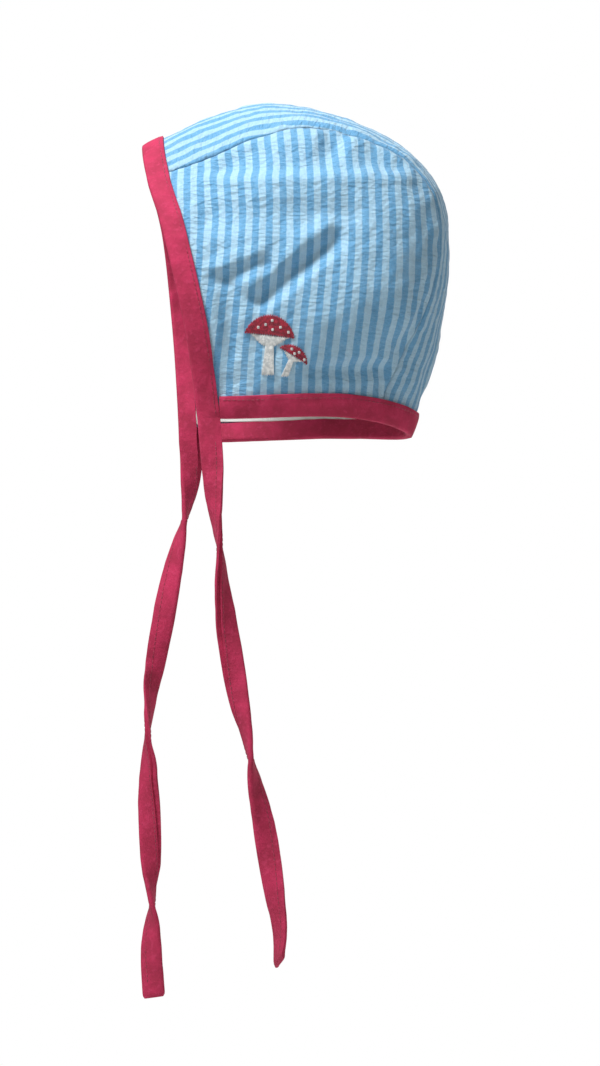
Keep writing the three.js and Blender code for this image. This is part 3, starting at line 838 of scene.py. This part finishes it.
def tie(name, side, route, seed, slant):
    """The tape of the face binding, which goes on below the jaw as a folded and twisted tie."""
    middle, width, thick = tie_frame(side, route)
    held, shut = tape_section(1.0), tape_section(0.0)
    run = run_along(middle)
    from_tip = run[-1] - run
    loose = smoothstep(run, 0, SHUT_LENGTH)[:, None]
    inset, height = mix(held[:, 0], shut[:, 0], loose), mix(held[:, 1], shut[:, 1], loose)
    u = inset - TAPE / 2
    thin = TIE_THICKNESS / (2 * LEAF + 2 * GAP + CLOTH)
    flat = 1 - TIP_THIN * (1 - smoothstep(from_tip, 0, TIP_THIN_LENGTH))
    v = (height + CLOTH / 2) * mix(1.0, thin, loose) * flat[:, None]
    narrow = 1 - TIP_NARROW * (1 - smoothstep(from_tip, 0, TIP_NARROW_LENGTH))
    base = middle[:, None, :] + width[:, None, :] * u[..., None]
    waves = tape_waves(base.reshape(-1, 3), TIE_WAVES, seed)
    waves = waves.reshape(base.shape[:2]) * smoothstep(run, 0, WAVE_RISE)[:, None]
    along = unit(np.gradient(middle, axis=0))
    lean = slant * smoothstep(-from_tip, -SLANT_LENGTH, 0)[:, None] * u / (TAPE / 2)
    rings = (middle[:, None, :] + width[:, None, :] * (u * narrow[:, None])[..., None]
             + thick[:, None, :] * (waves - side * v)[..., None] + along[:, None, :] * lean[..., None])
    first = in_from_edge(FACE_EDGE, 1, np.full(len(held), 2.0 * side), held[:, 0], held[:, 1])
    carried = first[None] + (middle - middle[0])[:, None, :]
    rings = mix(carried, rings, smoothstep(run, 0, CARRY_LENGTH)[:, None, None])
    return swept_piece(name, rings, TAPE_CLOTH), middle, width, thick


# Stitches and embroidery, as short threads: widths along a thread, and corners round it
CAPSULE_PLACES = (0.0, 0.12, 0.5, 0.88, 1.0)
CAPSULE_WIDTHS = (0.35, 0.85, 1.0, 0.85, 0.35)
THREAD_SIDES = 5
STITCH_MARGIN, STITCH_LIFT, STITCH_CLEAR = 1.0, 0.5, 0.01
# Heights of the rows on both faces of a tie, and the steps of the tie that they cover
TIE_STITCH_LIFTS = ((1, 1.72), (-1, 1.48))
TIE_STITCH_SPAN = slice(10, -4)


def capsules(name, starts, ends, normals, radius, material, arch=0.0):
    """Many short round threads from starts to ends, arched along their normals."""
    direction = unit(ends - starts)
    sideways = unit(np.cross(direction, normals))
    up = np.cross(sideways, direction)
    t = np.linspace(0, 2 * math.pi, THREAD_SIDES, endpoint=False)
    rings = []
    for place, wide in zip(CAPSULE_PLACES, CAPSULE_WIDTHS):
        centre = mix(starts, ends, place) + up * (arch * (1 - (2 * place - 1) ** 2))
        ring = (centre[:, None, :] + sideways[:, None, :] * (np.cos(t) * radius * wide)[None, :, None]
                + up[:, None, :] * (np.sin(t) * radius * wide)[None, :, None])
        rings.append(ring)
    points = np.stack(rings, axis=1)
    per = len(CAPSULE_PLACES) * THREAD_SIDES
    faces = []
    one = grid_faces(len(CAPSULE_PLACES), THREAD_SIDES, closed=True)
    caps = [list(range(THREAD_SIDES)), list(range(per - THREAD_SIDES, per))[::-1]]
    for n in range(len(starts)):
        faces += (one[:, ::-1] + n * per).tolist()
        faces += [[k + n * per for k in cap][::-1] for cap in caps]
    return new_mesh(name, points, faces, material)


def stitch_row(points, normals):
    """Starts, ends and normals of a row of stitches along a line of points."""
    run = run_along(points)
    first = np.arange(STITCH_MARGIN, run[-1] - STITCH_LENGTH - STITCH_MARGIN, STITCH_PITCH)

    def at(place, table):
        return np.stack([np.interp(place, run, table[:, k]) for k in range(3)], axis=1)

    return at(first, points), at(first + STITCH_LENGTH, points), at(first + STITCH_LENGTH / 2, normals)


def binding_stitches(name, edge, inward, start):
    stations = binding_stations(start, *STITCH_STATIONS)
    inset = np.full_like(stations, TAPE - STITCH_INSET)
    height = np.full_like(stations, GAP + LEAF + STITCH_LIFT)
    low = in_from_edge(edge, inward, stations, inset, np.zeros_like(stations))
    line = in_from_edge(edge, inward, stations, inset, height)
    return capsules(name, *stitch_row(line, unit(line - low)), STITCH_RADIUS, TAPE_THREAD)


def tie_stitches(name, side, seed, middle, width, thick):
    """A row of stitches on each face of a tie, beside its open edge."""
    line = middle + width * (INNER_LEAF - STITCH_INSET / 2 - TAPE / 2)
    waves = tape_waves(line, TIE_WAVES, seed)[:, None]
    rows = []
    for face, height in TIE_STITCH_LIFTS:
        out = thick * (-side * face)
        row = line + thick * waves + out * height
        rows.append(stitch_row(row[TIE_STITCH_SPAN], out[TIE_STITCH_SPAN]))
    starts, ends, normals = (np.concatenate(parts) for parts in zip(*rows))
    return capsules(name, starts, ends, normals, STITCH_RADIUS, TAPE_THREAD)


# How wide a margin, and how many of the nearest points, place a stitch on the cloth
NEAR_MARGIN, NEIGHBOURS, NEIGHBOUR_EASE = 5, 4, 0.1


def on_cloth(points, normals, places, lift):
    """Points over the near panel at places (x, z) of its side view, and the normals there."""
    points, normals = points.reshape(-1, 3), normals.reshape(-1, 3)
    low, high = places.min(axis=0) - NEAR_MARGIN, places.max(axis=0) + NEAR_MARGIN
    near = ((points[:, [0, 2]] > low) & (points[:, [0, 2]] < high)).all(axis=1)
    points, normals = points[near], normals[near]
    away = np.linalg.norm(places[:, None, :] - points[None, :, [0, 2]], axis=-1)
    closest = np.argsort(away, axis=1)[:, :NEIGHBOURS]
    weight = 1 / (np.take_along_axis(away, closest, axis=1) + NEIGHBOUR_EASE)
    weight /= weight.sum(axis=1, keepdims=True)
    depth = (points[closest, 1] * weight).sum(axis=1)
    normal = unit((normals[closest] * weight[..., None]).sum(axis=1))
    return np.stack([places[:, 0], depth, places[:, 1]], axis=1) + normal * lift, normal


# Embroidery on the near panel, in its side view: places are x and z, dots are shares along and up a cap
TOADSTOOLS = (
    {"tips": ((-13.2, -126.3), (13.5, -129.5)), "rise": 11.3, "gills": 6.2, "spread": 0.78,
     "stem": ((0.2, -133.2), (-0.8, -148.8)), "stem_widths": (4.4, 6.8),
     "dots": ((0.26, 0.40), (0.40, 0.52), (0.52, 0.73), (0.55, 0.30), (0.70, 0.51), (0.87, 0.46))},
    {"tips": ((5.6, -134.3), (20.0, -143.1)), "rise": 5.6, "gills": 2.9, "spread": 0.7,
     "stem": ((12.0, -140.2), (8.2, -149.6)), "stem_widths": (2.8, 3.9),
     "dots": ((0.35, 0.55), (0.60, 0.62), (0.50, 0.25), (0.86, 0.45))},
)
CAP_ROUND, GILL_ROUND = 0.66, 1.4
DOT_RADIUS = 0.75
THREAD_SPACING = 0.46
EDGE_RISE = 0.3
# Satin stitch: threads one after another in a run, their ragged ends, and how runs are split
CAP_PARTS, GILL_PARTS, STEM_PARTS = 2, 1, 4
RAGGED, RAGGED_STEP, STAGGER, SPLIT_OVERLAP = 0.35, 2.4, 0.3, 0.04
# The three threads of a dot
DOT_ROWS = np.array([-0.5, 0.0, 0.5])
DOT_TAPER, DOT_SPREAD = 0.8, 1.2
CAP_LIFT, GILL_LIFT, STEM_LIFT, DOT_LIFT, EMBROIDERY_ARCH = 0.35, 0.22, 0.28, 0.72, 0.12


def cap_curve(tips, rise, power):
    """Places of an arch over the line between a cap's tips."""
    first, last = np.array(tips[0]), np.array(tips[1])
    chord = last - first
    up = np.array([-chord[1], chord[0]]) / np.linalg.norm(chord)
    return lambda t: mix(first, last, t[:, None]) + up * (rise * (4 * t * (1 - t)) ** power)[:, None]


def satin(upper, lower, length, parts):
    """Starts and ends of stitches from one curve to another, each run split where its neighbours aren't."""
    count = int(length / THREAD_SPACING)
    t = (np.arange(count) + 0.5) / count
    ragged = RAGGED * np.sin(np.arange(count) * RAGGED_STEP)[:, None]
    down = lower(t) - upper(t)
    down /= np.linalg.norm(down, axis=1, keepdims=True) + 1e-6
    top, foot = upper(t) - down * ragged, lower(t) + down * ragged
    stagger = STAGGER * (np.arange(count) * 7 % 5 / 4 - 0.5) / parts
    starts, ends = [], []
    for k in range(parts):
        begin = np.zeros(count) if k == 0 else k / parts + stagger - SPLIT_OVERLAP
        end = np.ones(count) if k == parts - 1 else (k + 1) / parts + stagger + SPLIT_OVERLAP
        starts.append(mix(top, foot, begin[:, None]))
        ends.append(mix(top, foot, end[:, None]))
    return np.concatenate(starts), np.concatenate(ends)


def toadstool_stitches(design):
    """The stitches of one toadstool: its red cap, its white gills and stem, and the dots over the cap."""
    tips = design["tips"]
    length = math.dist(*tips)
    edge = cap_curve(tips, EDGE_RISE, 1.0)
    dome = cap_curve(tips, design["rise"], CAP_ROUND)
    cap = satin(dome, edge, length, CAP_PARTS)
    inner = (1 - design["spread"]) / 2

    def short_edge(t):
        return edge(mix(inner, 1 - inner, t))

    gill_ends = cap_curve(short_edge(np.array([0.0, 1.0])), -design["gills"], GILL_ROUND)
    gills = satin(short_edge, gill_ends, length * design["spread"], GILL_PARTS)
    top, foot = (np.array(end) for end in design["stem"])
    sideways = np.array([1.0, 0.0])

    def beside(end, wide):
        return lambda t: end + sideways * (wide * (t - 0.5))[:, None]

    wide_top, wide_foot = design["stem_widths"]
    stem = satin(beside(top, wide_top), beside(foot, wide_foot), wide_foot, STEM_PARTS)
    along, share = np.array(design["dots"]).T
    middle = mix(edge(along), dome(along), share[:, None])
    half = np.sqrt(DOT_RADIUS ** 2 - (DOT_TAPER * DOT_ROWS) ** 2)
    offset = np.stack([half, np.zeros(3)], axis=1)
    lifted = middle[:, None, :] + np.stack([np.zeros(3), DOT_ROWS * DOT_RADIUS * DOT_SPREAD], axis=1)
    dots = ((lifted - offset).reshape(-1, 2), (lifted + offset).reshape(-1, 2))
    return cap, gills, stem, dots


def embroidery(points, normals):
    def laid(stitches, lift):
        starts, out = on_cloth(points, normals, stitches[0], lift)
        ends, _ = on_cloth(points, normals, stitches[1], lift)
        return starts, ends, out

    red, white = [], []
    for design in TOADSTOOLS:
        cap, gills, stem, dots = toadstool_stitches(design)
        red.append(laid(cap, CAP_LIFT))
        white += [laid(gills, GILL_LIFT), laid(stem, STEM_LIFT), laid(dots, DOT_LIFT)]
    sets = (("toadstool_caps", red, CAP_THREAD), ("toadstool_stems", white, WHITE_THREAD))
    pieces = []
    for name, runs, material in sets:
        starts, ends, out = (np.concatenate(parts) for parts in zip(*runs))
        pieces.append(capsules(name, starts, ends, out, THREAD_RADIUS, material, EMBROIDERY_ARCH))
    return pieces


# Building the bonnet
def settle(piece, slot_name, *nodes):
    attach(piece, BODY)
    if nodes:
        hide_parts(*nodes)


def build():
    left_tie, *left_run = tie("left_tie_tape", LEFT, LEFT_TIE, LEFT_TIE_SEED, LEFT_SLANT)
    right_tie, *right_run = tie("right_tie_tape", RIGHT, RIGHT_TIE, RIGHT_TIE_SEED, RIGHT_SLANT)
    settle(left_tie, "raspberry_binding", "left_tie")
    settle(right_tie, "raspberry_binding", "right_tie")
    left, left_points, left_normals = side_panel(LEFT, "left_panel_cloth")
    right, _, _ = side_panel(RIGHT, "right_panel_cloth")
    centre = centre_panel()
    inside = lining()
    face = binding("face_binding_tape", FACE_EDGE, 1, 0.0, FACE_SEED)
    neck = binding("neck_binding_tape", NECK_EDGE, -1, NECK_START, NECK_SEED)
    settle(left, "striped_cotton", "left_panel")
    settle(right, "striped_cotton", "right_panel")
    settle(centre, "striped_cotton", "centre_panel")
    settle(inside, "lining_cotton", "lining")
    settle(face, "raspberry_binding", "face_binding")
    settle(neck, "raspberry_binding", "neck_binding")
    stitches = [
        binding_stitches("face_binding_stitches", FACE_EDGE, 1, STITCH_CLEAR),
        binding_stitches("neck_binding_stitches", NECK_EDGE, -1, NECK_START + STITCH_CLEAR),
        tie_stitches("left_tie_stitches", LEFT, LEFT_TIE_SEED, *left_run),
        tie_stitches("right_tie_stitches", RIGHT, RIGHT_TIE_SEED, *right_run),
    ]
    for row in stitches:
        settle(row, "raspberry_binding")
    for motif in embroidery(left_points, left_normals):
        settle(motif, "raspberry_binding")


# Stage, light and camera
FLOOR_Z = -760.0
FLOOR_HALF = 1500.0
FLOOR_STEPS = 9
AMBIENT_COLOUR, AMBIENT = (1.0, 0.97, 0.93, 1), 0.28
SENSOR_WIDTH, CLIP_END = 36, 20


def studio():
    """A pale floor under the hanging ties, and a soft pale surround that lights less than it shows."""
    side = np.linspace(-FLOOR_HALF, FLOOR_HALF, FLOOR_STEPS)
    x, y = np.meshgrid(side, side, indexing="ij")
    points = np.stack([x, y, np.full_like(x, FLOOR_Z)], axis=-1)
    floor = new_mesh("studio_floor", points, grid_faces(FLOOR_STEPS, FLOOR_STEPS).tolist(), pale_floor())
    world = bpy.context.scene.world or bpy.data.worlds.new("studio")
    bpy.context.scene.world = world
    world.use_nodes = True
    nodes, links = world.node_tree.nodes, world.node_tree.links
    soft = nodes["Background"]
    soft.inputs["Color"].default_value = AMBIENT_COLOUR
    soft.inputs["Strength"].default_value = AMBIENT
    white = nodes.new("ShaderNodeBackground")
    white.inputs["Color"].default_value = (1, 1, 1, 1)
    white.inputs["Strength"].default_value = 1.0
    seen = nodes.new("ShaderNodeLightPath")
    blend = nodes.new("ShaderNodeMixShader")
    links.new(seen.outputs["Is Camera Ray"], blend.inputs[0])
    links.new(soft.outputs[0], blend.inputs[1])
    links.new(white.outputs[0], blend.inputs[2])
    links.new(blend.outputs[0], nodes["World Output"].inputs["Surface"])


def area_light(name, place, aim, size, power, colour):
    bpy.ops.object.light_add(type="AREA", location=[v * MM for v in place])
    lamp = bpy.context.object
    lamp.name = name
    lamp.data.size = size
    lamp.data.energy = power
    lamp.data.color = colour
    direction = Vector(aim) - Vector(place)
    lamp.rotation_euler = direction.to_track_quat("-Z", "Y").to_euler()


def lights():
    middle = (10, 0, -150)
    area_light("key", (-540, -520, 940), middle, 0.3, 25, (0.94, 0.98, 1.0))
    area_light("fill", (500, -1600, 100), middle, 1.2, 2, (1.0, 0.96, 0.9))
    area_light("back", (900, 1500, 900), middle, 1.2, 16, (1.0, 0.98, 0.95))


def camera():
    bpy.ops.object.camera_add()
    eye = bpy.context.object
    eye.location = (VIEW_CENTRE[0] * MM, -CAMERA_DISTANCE * MM, VIEW_CENTRE[1] * MM)
    eye.rotation_euler = (math.pi / 2, 0, 0)
    eye.data.sensor_width = SENSOR_WIDTH
    eye.data.lens = SENSOR_WIDTH * CAMERA_DISTANCE / VIEW_HEIGHT
    eye.data.clip_end = CLIP_END
    bpy.context.scene.camera = eye
    bpy.context.scene.view_settings.view_transform = "Standard"


camera()
build()
studio()
lights()
